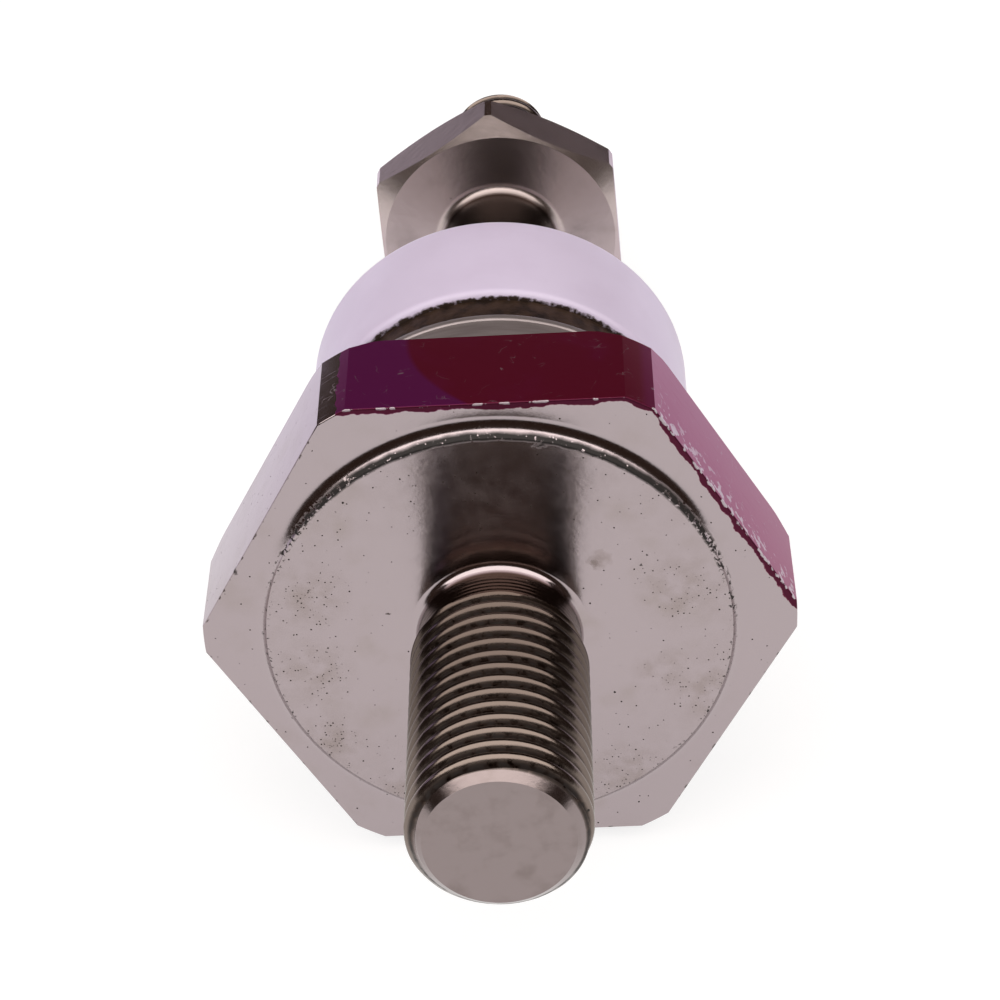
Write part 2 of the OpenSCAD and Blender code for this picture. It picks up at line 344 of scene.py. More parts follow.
class ThreadTree:
    """Geometry Nodes tree of a right-handed thread on its core, along +Z from height 0, in millimetres."""

    SIZES = ("Length", "Pitch", "Start", "Major Radius", "Depth", "Neck Radius", "Neck Length", "Step Length",
             "Run-out", "End Radius", "End Length", "End Exponent")

    def __init__(self) -> None:
        """Builds the tree."""
        self.tree = bpy.data.node_groups.new("turned_thread", "GeometryNodeTree")
        self.add = partial(add, self.tree)
        sockets = [("Geometry", "OUTPUT", "Geometry"), ("Geometry", "INPUT", "Geometry")]
        sockets += [(size, "INPUT", "Float") for size in self.SIZES]
        sockets += [(count, "INPUT", "Int") for count in ("Pitch Steps", "Turn Steps")]
        for name, way, kind in (*sockets, ("Material", "INPUT", "Material")):
            self.tree.interface.new_socket(name, in_out=way, socket_type="NodeSocket" + kind)
        self.inputs = self.add("NodeGroupInput").node.outputs
        self.build()

    def build(self) -> None:
        """Lays a grid round the axis and lifts its points to the thread's radius."""
        node, size = self.add, self.inputs
        turns = node("DIVIDE", size["Length"], size["Pitch"])
        laps = node("ADD", turns, 1.0)
        steps = node("MULTIPLY", laps, size["Pitch Steps"])
        rows = node("CEIL", steps)
        # One row more at each end closes the mesh on the axis
        spans = node("ADD", rows, 2.0)
        row_count = node("ADD", spans, 1.0)
        column_count = node("ADD", size["Turn Steps"], 1.0)
        grid = node("GeometryNodeMeshGrid", 1.0, 1.0, column_count, row_count)
        at = node("SeparateXYZ", node("GeometryNodeInputPosition")).node.outputs
        share = node("ADD", at["X"], 0.5)
        down = node("ADD", at["Y"], 0.5)
        row = node("ROUND", node("MULTIPLY", down, spans))
        height = self.height(row, share)
        radius = self.radius(share, height)
        inside = node("GREATER_THAN", row, 0.5)
        last = node("ADD", rows, 1.5)
        before_end = node("LESS_THAN", row, last)
        kept = node("MULTIPLY", inside, before_end)
        reach = node("MULTIPLY", radius, kept)
        angle = node("MULTIPLY", share, math.tau)
        x, y = (node("MULTIPLY", reach, node(wave, angle))
                for wave in ("COSINE", "SINE"))
        place = node("CombineXYZ", x, y, height)
        moved = node("GeometryNodeSetPosition", grid, named={"Position": place})
        merged = node("GeometryNodeMergeByDistance", moved, named={"Distance": WELD_MM})
        real = node("GeometryNodeRealizeInstances", merged)
        node("NodeGroupOutput", node("GeometryNodeSetMaterial", real, named={"Material": size["Material"]}))

    def height(self, row: Socket, share: Socket) -> Socket:
        """Height of a point of a row, which climbs with the thread and is held between the two ends.

        Args:
            row: Number of the row, from the start.
            share: Share of a turn round the axis.

        Returns:
            The height.
        """
        node, size = self.add, self.inputs
        climb, height = node("SUBTRACT", share, 1.0), row
        for operation, value in (("SUBTRACT", 1.0), ("DIVIDE", size["Pitch Steps"]), ("ADD", climb),
                                 ("MULTIPLY", size["Pitch"]), ("MAXIMUM", 0.0), ("MINIMUM", size["Length"])):
            height = node(operation, height, value)
        return height

    def radius(self, share: Socket, height: Socket) -> Socket:
        """Radius of the thread, held inside its two turned ends.

        Args:
            share: Share of a turn round the axis.
            height: Height along the axis.

        Returns:
            The radius.
        """
        node, size = self.add, self.inputs
        laps = node("DIVIDE", height, size["Pitch"])
        lead = node("ADD", laps, size["Start"])
        phase = node("SUBTRACT", lead, share)
        # Rolled and plated, so that the crests are broad and round over narrow grooves
        wave = node("PINGPONG", phase, 0.5)
        groove = node("POWER", node("MapRange", wave, 0.0, 0.5, 1.0, 0.0), 2.0)
        fade = node("MapRange", height, 0.0, size["Run-out"], interpolation_type="SMOOTHSTEP")
        cut = node("MULTIPLY", size["Depth"], fade)
        cut = node("MULTIPLY", cut, groove)
        thread = node("SUBTRACT", size["Major Radius"], cut)
        step_end = node("ADD", size["Neck Length"], size["Step Length"])
        neck = node("MapRange", height, size["Neck Length"], step_end, size["Neck Radius"],
                    size["Major Radius"])
        start = node("SUBTRACT", size["Length"], size["End Length"])
        gone = node("MapRange", height, start, size["Length"])
        power = node("POWER", gone, size["End Exponent"])
        rest = node("SUBTRACT", 1.0, power)
        back = node("DIVIDE", 1.0, size["End Exponent"])
        left = node("POWER", rest, back)
        end = node("MapRange", left, 0.0, 1.0, size["End Radius"], size["Major Radius"])
        held = node("MINIMUM", thread, neck)
        return node("MINIMUM", held, end)


@dataclass(frozen=True)
class Thread:
    """Sizes of one thread, in millimetres and in the tree's order, and the share of a turn at its start."""

    length: float
    pitch: float
    start: float
    major_r: float
    depth: float
    neck_r: float
    neck_l: float
    step_l: float
    run_out: float
    end_r: float
    end_l: float
    end: ThreadEnd

    def mesh(self, name: str, tree: ThreadTree, place: Matrix, material: Material) -> Mesh:
        """Plain mesh of the thread.

        Args:
            name: Name of the mesh.
            tree: Tree that makes threads.
            place: Turn and place in the upright frame.
            material: Its finish.

        Returns:
            Mesh in the row frame.
        """
        values = dict(zip(ThreadTree.SIZES, astuple(self)))
        values |= {"End Exponent": self.end.value, "Material": material,
                   "Pitch Steps": PITCH_STEPS, "Turn Steps": THREAD_TURN_STEPS}
        holder = bpy.data.objects.new(name + "_holder", bpy.data.meshes.new(name + "_holder"))
        bpy.context.scene.collection.objects.link(holder)
        modifier = holder.modifiers.new("thread", "NODES")
        modifier.node_group = tree.tree
        for item in tree.tree.interface.items_tree:
            if item.in_out == "INPUT" and item.name in values:
                modifier[item.identifier] = values[item.name]
        graph = bpy.context.evaluated_depsgraph_get()
        made = bpy.data.meshes.new_from_object(holder.evaluated_get(graph))
        bpy.data.objects.remove(holder)
        made.name = name
        work = bmesh.new()
        work.from_mesh(made)
        work.transform(place)
        close(work, made, THREAD_CRISP_ANGLE)
        return made


class Surface:
    """Material whose finish is laid on in layers, with the diode's own millimetres as its coordinates."""

    def __init__(self, name: str, colour: str, metallic: float, roughness: float) -> None:
        """Starts the material with its bare finish.

        Args:
            name: Name of the material.
            colour: sRGB hex colour.
            metallic: Share of metal.
            roughness: Roughness.
        """
        self.material = bpy.data.materials.new(name)
        self.material.use_nodes = True
        self.material.node_tree.nodes.clear()
        self.add = partial(add, self.material.node_tree)
        coordinates = self.add("TexCoord", out="Object")
        self.place = self.add("Mapping", coordinates, AXES.origin, AXES.turn, (MM, MM, MM),
                              vector_type="TEXTURE")
        flat = self.add("VectorMath", self.place, (1.0, 1.0, 0.0), operation="MULTIPLY")
        self.radius = self.add("VectorMath", flat, out="Value", operation="LENGTH")
        self.along = self.add("SeparateXYZ", self.place, out="Z")
        self.colour: Socket | Colour = srgb(colour)
        self.metallic: Socket | float = metallic
        self.roughness: Socket | float = roughness

    def tint(self, mask: Socket, colour: str) -> None:
        """Lays a colour over the layers below where the mask is 1."""
        self.colour = self.add("Mix", mask, named={COLOUR_A: self.colour, COLOUR_B: srgb(colour)},
                               out=COLOUR_OUT, data_type="RGBA")

    def roughen(self, mask: Socket, roughness: float) -> None:
        """Lays a roughness over the layers below where the mask is 1."""
        self.roughness = self.add("Mix", mask, named={FLOAT_A: self.roughness, FLOAT_B: roughness})

    def over(self, mask: Socket, colour: str, metallic: float, roughness: float) -> None:
        """Lays a whole finish over the layers below.

        Args:
            mask: Where it lies, from 0 to 1.
            colour: sRGB hex colour.
            metallic: Share of metal.
            roughness: Roughness.
        """
        self.tint(mask, colour)
        self.metallic = self.add("Mix", mask, named={FLOAT_A: self.metallic, FLOAT_B: metallic})
        self.roughen(mask, roughness)

    def noise(self, size: float, low: float, high: float, detail: float = 4.0,
              stretch: Point = (1.0, 1.0)) -> Socket:
        """Mask of soft patches.

        Args:
            size: Width of a patch in millimetres.
            low: Noise at which the mask starts.
            high: Noise at which it is 1.
            detail: Octaves of finer patches.
            stretch: How many times longer a patch is across and along the axis.

        Returns:
            The mask.
        """
        across, along = stretch
        spot = self.add("Mapping", self.place, named={"Scale": (1 / across, 1 / across, 1 / along)})
        value = self.add("TexNoise", spot, named={"Scale": 1 / size, "Detail": detail})
        return self.add("MapRange", value, low, high, interpolation_type="SMOOTHSTEP")

    def specks(self, pitch: float, size: float, share: Socket | float) -> Socket:
        """Mask of scattered specks.

        Args:
            pitch: Mean distance of the places where a speck may be, in millimetres.
            size: Radius of the largest specks in millimetres.
            share: Share of the places that have one.

        Returns:
            The mask.
        """
        node = self.add
        jitter = node("TexNoise", self.place, named={"Scale": 1.5 / size}, out="Color")
        bent = node("VectorMath", jitter, (size,) * 3, self.place, operation="MULTIPLY_ADD")
        cell = node("TexVoronoi", bent, named={"Scale": 1 / pitch}, out="Distance")
        draw = node("SeparateColor", cell.node.outputs["Color"]).node.outputs
        chosen = node("LESS_THAN", draw["Red"], share)
        reach = node("MULTIPLY", draw["Green"], size / pitch)
        spot = node("LESS_THAN", cell, reach)
        return node("MULTIPLY", spot, chosen)

    def toward(self, degrees: float) -> Socket:
        """Distance from the axis towards a direction, clockwise from straight up as seen from the stud."""
        way = (math.sin(math.radians(degrees)), -math.cos(math.radians(degrees)), 0.0)
        return self.add("VectorMath", self.place, way, out="Value", operation="DOT_PRODUCT")

    def finish(self, height: Socket, relief: float) -> Material:
        """Ends the material in its shader.

        Args:
            height: Pattern of the surface's relief.
            relief: Depth of the relief in millimetres.

        Returns:
            The material.
        """
        bump = self.add("Bump", named={"Height": height, "Distance": relief * MM})
        lit = self.add("BsdfPrincipled", self.colour, self.metallic, self.roughness, named={"Normal": bump})
        self.add("OutputMaterial", lit)
        return self.material


@dataclass(frozen=True)
class NickelPlate:
    """Bright nickel plate on turned copper: a warm grey mirror, softened by fine wear."""

    colour: str = "#a99d9f"
    film: str = "#a09492"
    dirt: str = "#241b17"
    grime_and_shade: str = "#2e211b"
    sawn: str = "#8e8281"
    sawn_shade: str = "#827674"
    neck: str = "#57483f"
    thread: str = "#5c514b"
    thread_free_end: str = "#7b6f68"
    painted_dark_reflection: str = "#352b26"
    collar: str = "#c3b5b2"
    roughness: float = 0.14
    worn_roughness: float = 0.17
    turned_roughness: float = 0.16
    thread_roughness: float = 0.2
    collar_roughness: float = 0.27
    film_mm: float = 3.0
    wear_mm: float = 0.8
    # Turning marks are drawn about three times as coarse as they are, so that they show
    turning_mm: float = 0.3
    relief_mm: float = 0.002
    # Along a thread: clean rim at the sawn end, reach of the lighter part from there, end of the bare neck
    sawn_rim: Point = (0.4, 0.55)
    lighter_reach: Point = (9.0, 1.0)
    neck_end: Point = (1.9, 1.2)
    # Shares of a thread's depth between which the dirt and painted shade start
    dirt_and_shade_depth: Point = (0.2, 0.6)
    # Shares of the fillet under the collar between which the painted dark reflection runs out
    dark_reflection_end: Point = (0.05, 0.7)

    def bare(self, name: str) -> Surface:
        """Surface with the plate's uneven film and wear."""
        skin = Surface(name, self.colour, 1.0, self.roughness)
        skin.tint(skin.noise(self.film_mm, 0.5, 0.85), self.film)
        skin.roughen(skin.noise(self.wear_mm, 0.4, 0.75), self.worn_roughness)
        return skin

    def turned(self, skin: Surface, neck: Socket) -> Socket:
        """Relief of fine wear, with the rings of the turning tool on the neck.

        Args:
            skin: Surface that is turned.
            neck: Mask of the neck, which also gets the duller finish of the tool and is painted darker as
                painted shade.

        Returns:
            The relief's height.
        """
        # The neck is painted dark brown: painted shade next to the face that it meets
        skin.tint(neck, self.neck)
        skin.roughen(neck, self.turned_roughness)
        step = skin.add("MULTIPLY", skin.along, math.tau / self.turning_mm)
        cut = skin.add("MULTIPLY", skin.add("SINE", step), neck)
        return skin.add("MULTIPLY_ADD", cut, 2.0, skin.noise(0.4, 0.3, 0.7))

    def post(self, name: str, collar_z: float, fillet: float) -> Material:
        """Duller plate of the terminal, its neck painted nearly black as a painted dark reflection.

        Args:
            name: Name of the material.
            collar_z: Height of the collar's face.
            fillet: Radius of the fillet under the collar, where the painted dark reflection runs out.

        Returns:
            The material.
        """
        skin = Surface(name, self.collar, 1.0, self.collar_roughness)
        skin.tint(skin.noise(self.film_mm, 0.5, 0.85), self.film)
        dark_band = skin.add("MapRange", skin.along, *(collar_z - share * fillet for share in self.dark_reflection_end))
        # Below the collar the neck is a painted dark reflection: near-black mirror plate
        skin.over(dark_band, self.painted_dark_reflection, 1.0, 0.25)
        skin.over(skin.specks(0.6, 0.07, 0.06), self.dirt, 0.0, 0.7)
        return skin.finish(skin.noise(0.5, 0.3, 0.7), self.relief_mm)

    def threaded(self, name: str, crest_r: float, root_r: float, start_z: float,
                 end_z: float) -> Material:
        """Plate with brown dirt and painted shade in the grooves of a thread.

        Args:
            name: Name of the material.
            crest_r: Radius of the crests in millimetres.
            root_r: Radius of the grooves in millimetres.
            start_z: Height of the end at the neck.
            end_z: Height of the free end, which stays clean.

        Returns:
            The material.
        """
        skin = Surface(name, self.sawn, 1.0, self.thread_roughness)
        node, inward = skin.add, math.copysign(1.0, start_z - end_z)
        clear = node("MapRange", skin.along, *(end_z + reach * inward for reach in self.sawn_rim))
        depths = (crest_r - share * (crest_r - root_r) for share in self.dirt_and_shade_depth)
        low = node("MapRange", skin.radius, *depths, interpolation_type="SMOOTHSTEP")
        neck = node("MapRange", skin.along, *(start_z - reach * inward for reach in self.neck_end))
        cut = node("MULTIPLY", clear, low)
        groove = node("SUBTRACT", cut, neck, use_clamp=True)
        skin.tint(skin.noise(1.2, 0.45, 0.8, 6.0), self.sawn_shade)
        skin.tint(clear, self.thread)
        # The thread is lighter towards the free end
        bright = node("MapRange", skin.along, *(end_z + reach * inward for reach in self.lighter_reach))
        skin.tint(node("MULTIPLY", bright, clear), self.thread_free_end)
        # The grooves are darkened as painted shade, with caked dirt in patches over it
        skin.tint(groove, self.grime_and_shade)
        caked = node("MULTIPLY", groove, skin.noise(0.5, 0.3, 0.6))
        skin.over(caked, self.dirt, 0.3, 0.6)
        skin.over(skin.specks(0.9, 0.08, 0.08), self.dirt, 0.0, 0.7)
        return skin.finish(self.turned(skin, neck), self.relief_mm)


@dataclass(frozen=True)
class Mark:
    """One stain, spot or nick on the base's face, by its place right and up from the axis in millimetres."""

    x: float
    up: float
    width: float
    height: float
    colour: str = "#1b1513"
    strength: float = 1.0


@dataclass(frozen=True)
class Cluster:
    """Patch of fine dirt on the seat, by its place right and up from the axis in millimetres."""

    x: float
    up: float
    reach: float


@dataclass(frozen=True)
class LacqueredBase(NickelPlate):
    """Nickel plate of the hex base, with marking lacquer brushed on two flats and old dirt and painted shade
    on the seat.

    The lacquer is clear and tinted, so that the plate shines through it: pink, with red and purple painted on
    the dark top flat as painted reflections.
    """

    relief_mm: float = 0.001
    lacquer: str = "#8c2559"
    painted_reflection_red: str = "#86203f"
    painted_reflection_purple: str = "#862a70"
    lacquer_edge_shade: str = "#4a0c28"
    chip_and_highlight: str = "#cfc5cc"
    scratch: str = "#a08f97"
    haze: str = "#85766a"
    soot_and_shade: str = "#17100d"
    flat_r: float = 14.3
    corner_r: float = 16.03
    face_z: float = 0.62
    seat_r: float = 12.55
    neck_r: float = 5.0
    # Heights between which the neck's own finish and painted shade start
    neck_start: Point = (-0.35, -0.5)
    # Lacquer: how far it ran onto the face, wander of its edge, left end on the top flat
    bleed_mm: float = 0.34
    wander_mm: float = 0.35
    top_left: float = -7.75
    # Distance towards the pink flat from which the surface belongs to it
    pink_from: float = 14.1
    # Edge of the purple painted reflection: its place at the far edge, the height there and its bend
    purple_edge_x: float = -4.15
    purple_edge_z: float = 7.0
    purple_edge_bend: float = 0.08
    # Depth of the chips and painted highlights from the front edge, on the other flats and on the pink one,
    # and how easily they come
    chip_depth: Point = (0.08, 3.0)
    chip_weight: Point = (0.07, 0.12)
    # Soot and painted shade round the seat: heights between which they thicken, their place outside the seat
    # and their soft width
    soot_shade_rise: Point = (2.0, 10.5)
    soot_shade_set: float = 0.12
    soot_shade_width: Point = (0.24, 0.1)
    marks: tuple[Mark, ...] = (
        Mark(5.56, 4.57, 0.8, 0.65, "#7a6552", 0.22),
        Mark(5.25, 4.35, 0.3, 0.4, "#6d5a4b", 0.3),
        Mark(-5.91, 1.65, 0.2, 0.08, "#3a2c24"),
        Mark(7.72, 4.13, 0.12, 0.1),
        Mark(8.05, 4.75, 0.08, 0.09),
        Mark(7.9, 3.6, 0.06, 0.06),
        Mark(2.75, 11.95, 0.6, 0.18),
        Mark(-13.9, 4.46, 0.16, 0.36),
    )
    clusters: tuple[Cluster, ...] = (
        Cluster(-9.9, 3.0, 2.4), Cluster(-10.0, -2.0, 2.4), Cluster(-9.6, -6.8, 2.2), Cluster(9.6, 2.4, 2.8),
        Cluster(11.2, -4.2, 2.4), Cluster(8.6, -2.8, 1.8), Cluster(6.6, -9.9, 2.4), Cluster(-5.5, -10.3, 2.0),
        Cluster(0.0, 8.5, 3.0),
    )

    def painted(self, skin: Surface) -> Socket:
        """Mask of the lacquer: top flat, corner beside it and next flat, with a ragged edge on the face.

        Args:
            skin: Surface that it lies on.

        Returns:
            The mask.
        """
        node = skin.add
        value = node("TexNoise", skin.place, named={"Scale": 1 / 0.9, "Detail": 7.0})
        ragged = node("MapRange", value, 0.0, 1.0, -self.wander_mm, self.wander_mm)
        corner = node("ADD", skin.toward(30), self.flat_r - self.corner_r)
        sides = node("MAXIMUM", skin.toward(60), corner)
        left = node("ADD", skin.toward(90), ragged)
        ends = node("GREATER_THAN", left, self.top_left)
        top = node("MULTIPLY", skin.toward(0), ends)
        reach = node("MAXIMUM", sides, top)
        brushed = node("ADD", reach, ragged)
        edge = self.flat_r - self.bleed_mm
        return node("MapRange", brushed, edge, edge + 0.05)

    def lacquers(self, skin: Surface, paint: Socket) -> None:
        """Lays on the lacquer: pink, then red and purple on the top flat, which are painted reflections.

        Args:
            skin: Surface that it lies on.
            paint: Mask of the lacquer.
        """
        node = skin.add
        skin.over(paint, self.lacquer, 0.78, 0.3)
        top = node("MapRange", skin.toward(60), self.pink_from, self.pink_from - 0.2)
        overlay_share = node("MULTIPLY", paint, top)
        # On the top flat the lacquer is painted dark red with lighter patches, a painted reflection
        skin.tint(overlay_share, self.painted_reflection_red)
        skin.tint(node("MULTIPLY", overlay_share, skin.noise(3.5, 0.5, 0.9)), self.lacquer)
        # The purple painted reflection ends on a curved line, which swings right towards the face
        rise = node("SUBTRACT", self.purple_edge_z, skin.along)
        swing = node("POWER", rise, 2.0)
        line = node("MULTIPLY_ADD", swing, self.purple_edge_bend, self.purple_edge_x)
        off = node("SUBTRACT", line, skin.toward(90))
        side = node("MapRange", off, -0.15, 0.15)
        skin.tint(node("MULTIPLY", overlay_share, side), self.painted_reflection_purple)
        # It ran over the front edges, and the strip there is darkened as painted shade under the edge
        face = node("MapRange", skin.along, self.face_z + 0.09, self.face_z + 0.04)
        skin.tint(node("MULTIPLY", paint, face), self.lacquer_edge_shade)

    def blot(self, skin: Surface, mark: Mark) -> Socket:
        """Mask of one mark, its edge made ragged.

        Args:
            skin: Surface that it lies on.
            mark: Place and size.

        Returns:
            The mask.
        """
        node, size = skin.add, min(mark.width, mark.height)
        jitter = node("TexNoise", skin.place, named={"Scale": 1 / size, "Detail": 6.0}, out="Color")
        bent = node("VectorMath", jitter, (2 * size, 2 * size, 0.0), skin.place, operation="MULTIPLY_ADD")
        centre = (mark.x + size, size - mark.up, self.face_z / 2)
        reach = (mark.width, mark.height, self.face_z)
        local = node("Mapping", bent, centre, named={"Scale": reach}, vector_type="TEXTURE")
        off = node("VectorMath", local, out="Value", operation="LENGTH")
        return node("MapRange", off, 1.0, 0.5, 0.0, mark.strength)

    def crowding(self, skin: Surface) -> Socket:
        """How thick the fine dirt lies on the seat, from 0 to 1.

        Args:
            skin: Surface that it lies on.

        Returns:
            The share.
        """
        node = skin.add
        most: Socket | float = 0.0
        for cluster in self.clusters:
            centre = (cluster.x, -cluster.up, 0.0)
            off = node("VectorMath", skin.place, centre, out="Value", operation="DISTANCE")
            most = node("MAXIMUM", node("MapRange", off, cluster.reach, 0.3), most)
        rim = node("MapRange", skin.radius, 8.0, self.seat_r, 0.0, 0.3)
        share = node("ADD", rim, most)
        uneven = node("MULTIPLY", share, skin.noise(1.1, 0.3, 0.7, 6.0))
        on_seat = node("LESS_THAN", skin.radius, self.seat_r)
        return node("MULTIPLY", uneven, on_seat)

    def seat_dirt_and_shade(self, skin: Surface) -> None:
        """Lays on the dirt: fine specks in clusters, soot with painted shade round the rim and the marks.

        Args:
            skin: Surface that it lies on.
        """
        node, overlay_share = skin.add, self.crowding(skin)
        skin.over(node("MULTIPLY", overlay_share, 0.3), self.haze, 0.6, 0.4)
        crowd = node("MULTIPLY_ADD", overlay_share, 0.85, 0.03)
        skin.over(skin.specks(0.16, 0.055, crowd), self.grime_and_shade, 0.1, 0.7)
        skin.over(skin.specks(0.55, 0.09, 0.05), self.dirt, 0.0, 0.75)
        # The line round the seat is soot and painted shade, a dark band in the cove: black at the top, fading
        # out down both sides
        high = node("MapRange", skin.toward(8), *self.soot_shade_rise, 0.0, 0.27)
        broken = node("TexNoise", skin.place, named={"Scale": 1 / 0.22, "Detail": 5.0})
        drift = node("TexNoise", skin.place, named={"Scale": 1 / 0.8, "Detail": 4.0})
        wander = node("MULTIPLY_ADD", drift, 0.2, skin.radius)
        off = node("SUBTRACT", wander, self.seat_r + self.soot_shade_set)
        line = node("MapRange", node("ABSOLUTE", off), *self.soot_shade_width)
        caked = node("MapRange", node("ADD", high, broken), 0.6, 0.66)
        skin.over(node("MULTIPLY", line, caked), self.soot_and_shade, 0.1, 0.6)
        for mark in self.marks:
            skin.over(self.blot(skin, mark), mark.colour, 0.2, 0.6)

    def edge_wear(self, skin: Surface, paint: Socket) -> None:
        """Lays on the nicks along the front edges: pale where they break the lacquer, and paler than the
        plate as painted highlights, dark on bare nickel.

        Args:
            skin: Surface that is worn.
            paint: Mask of the lacquer.
        """
        node = skin.add
        reach: Socket | float = 0.0
        for side in (0, 60, 120):
            off = node("ABSOLUTE", skin.toward(side))
            reach = node("MAXIMUM", off, reach)
        at_edge = node("MapRange", reach, self.flat_r - 0.15, self.flat_r - 0.05)
        # The pink flat is chipped deeper than the others
        deep = node("MapRange", skin.toward(60), self.pink_from, self.pink_from + 0.15, *self.chip_depth)
        inside = node("SUBTRACT", skin.along, self.face_z)
        share = node("DIVIDE", inside, deep)
        near = node("MULTIPLY", at_edge, node("MapRange", share, 1.0, 0.0))
        broken = node("TexNoise", skin.place, named={"Scale": 1 / 0.5, "Detail": 9.0})
        weight = node("MapRange", deep, 0.0, self.chip_depth[1], *self.chip_weight)
        level = node("MULTIPLY_ADD", near, weight, broken)
        nicked = node("MULTIPLY", node("MapRange", level, 0.63, 0.68), near)
        chipped = node("MULTIPLY", nicked, paint)
        # The pale chips are partly chipped lacquer and partly painted highlights along the edge
        skin.over(chipped, self.chip_and_highlight, 0.6, 0.45)
        skin.over(node("SUBTRACT", nicked, chipped), self.grime_and_shade, 0.4, 0.5)

    def scratches(self, skin: Surface) -> None:
        """Lays sparse wavy scratches on the sides, drawn broader than real hairlines so that they show.

        Args:
            skin: Surface that is scratched.
        """
        node = skin.add
        wave = node("TexNoise", skin.place, named={"Scale": 1 / 2.6, "Detail": 3.0, "Distortion": 1.2})
        off = node("SUBTRACT", wave, 0.5)
        thin = node("MapRange", node("ABSOLUTE", off), 0.006, 0.002, 0.0, 0.7)
        here = node("MULTIPLY", thin, skin.noise(0.9, 0.52, 0.64, 5.0))
        sides = node("GREATER_THAN", skin.along, self.face_z + 0.1)
        skin.over(node("MULTIPLY", here, sides), self.scratch, 0.6, 0.4)
        # Draw-bench marks run round the flats
        marks = skin.noise(0.12, 0.55, 0.85, 5.0, (25.0, 1.0))
        skin.roughen(node("MULTIPLY", marks, sides), 0.4)

    def material(self, name: str) -> Material:
        """The finished material of the base, by its name."""
        skin = self.bare(name)
        self.seat_dirt_and_shade(skin)
        paint = self.painted(skin)
        self.lacquers(skin, paint)
        self.scratches(skin)
        self.edge_wear(skin, paint)
        close_in = skin.add("LESS_THAN", skin.radius, self.neck_r)
        below = skin.add("MapRange", skin.along, *self.neck_start)
        neck = skin.add("MULTIPLY", close_in, below)
        return skin.finish(self.turned(skin, neck), self.relief_mm)


@dataclass(frozen=True)
class SealingAlloy:
    """Nickel-iron sealing alloy, painted dark brown as painted shade and dark reflection in the gap under the
    ceramic.
    """

    colour: str = "#5a4638"
    dark_patch: str = "#33261f"

    def material(self, name: str) -> Material:
        """The finished material."""
        # The dark brown colour is painted shade and dark reflection in the gap between the case and the
        # ceramic
        skin = Surface(name, self.colour, 0.75, 0.42)
        skin.tint(skin.noise(0.8, 0.35, 0.7, 6.0), self.dark_patch)
        return skin.finish(skin.noise(0.25, 0.3, 0.7), 0.006)


@dataclass(frozen=True)
class CaseSteel:
    """Plated steel of the case ring, dull grey, streaked by brazing flux near the hex."""

    colour: str = "#a39999"
    shade: str = "#918787"
    streak: str = "#c6bebb"
    # Heights over the hex between which the streaks fade out
    fade: Point = (5.5, 3.0)

    def material(self, name: str, hex_top: float) -> Material:
        """The finished material.

        Args:
            name: Name of the material.
            hex_top: Height of the hex's far face.

        Returns:
            The material.
        """
        skin = Surface(name, self.colour, 0.65, 0.42)
        skin.tint(skin.noise(0.6, 0.35, 0.75, 6.0, (5.0, 0.5)), self.shade)
        near = skin.add("MapRange", skin.along, *(hex_top + height for height in self.fade))
        flux = skin.noise(0.22, 0.42, 0.68, 7.0, (6.0, 1.0))
        skin.over(skin.add("MULTIPLY", near, flux), self.streak, 0.3, 0.5)
        return skin.finish(skin.noise(0.3, 0.3, 0.7), 0.004)


@dataclass(frozen=True)
class CapPlate:
    """Satin nickel plate of the seal cap, pale and soft."""

    colour: str = "#d9d3cf"
    shade: str = "#c6beb8"

    def material(self, name: str) -> Material:
        """The finished material."""
        skin = Surface(name, self.colour, 0.7, 0.42)
        skin.tint(skin.noise(1.5, 0.4, 0.7), self.shade)
        return skin.finish(skin.noise(0.25, 0.3, 0.7), 0.003)


@dataclass(frozen=True)
class Alumina:
    """Glazed alumina: pale lavender white, smooth, with a burnt brown line where it was brazed."""

    colour: str = "#ddd2ea"
    shade: str = "#d6cae2"
    braze: str = "#3a2d26"
    spatter: str = "#8e2a5a"

    def material(self, name: str, low_z: float) -> Material:
        """The finished material.

        Args:
            name: Name of the material.
            low_z: Height of the end next to the base.

        Returns:
            The material.
        """
        skin = Surface(name, self.colour, 0.0, 0.3)
        skin.tint(skin.noise(6.0, 0.35, 0.7), self.shade)
        ragged = skin.add("TexNoise", skin.place, named={"Scale": 1 / 0.35, "Detail": 6.0})
        wander = skin.add("MULTIPLY_ADD", ragged, -0.16, skin.along)
        dark_band = skin.add("MapRange", wander, low_z - 0.03, low_z - 0.07)
        skin.over(dark_band, self.braze, 0.4, 0.55)
        skin.over(skin.specks(1.6, 0.06, 0.1), self.spatter, 0.0, 0.4)
        return skin.finish(skin.noise(0.6, 0.3, 0.7), 0.001)


class Inner(Enum):
    """Finishes of the sealed pieces: colour, second colour, metallic, roughness and grain in millimetres."""

    MOLYBDENUM = ("#9a9ca0", "#86888d", 1.0, 0.3, 0.6)
    SILICON = ("#4a4d58", "#3d404b", 0.6, 0.15, 2.0)
    SILICONE_RUBBER = ("#e3e3df", "#d5d5d0", 0.0, 0.6, 0.5)
    COPPER = ("#c8875f", "#b0704c", 1.0, 0.25, 1.2)
    FLUOROPOLYMER = ("#eeece4", "#e2dfd4", 0.0, 0.45, 1.5)
    SPRING_STEEL = ("#77777a", "#626266", 1.0, 0.35, 0.8)
    COPPER_ROPE = ("#b97a52", "#7d4a2e", 1.0, 0.4, 0.3)

    def material(self) -> Material:
        """Material with the finish's grain."""
        colour, second, metallic, roughness, grain = self.value
        skin = Surface(self.name.lower(), colour, metallic, roughness)
        pattern = skin.noise(grain, 0.35, 0.7)
        skin.tint(pattern, second)
        return skin.finish(pattern, 0.003)


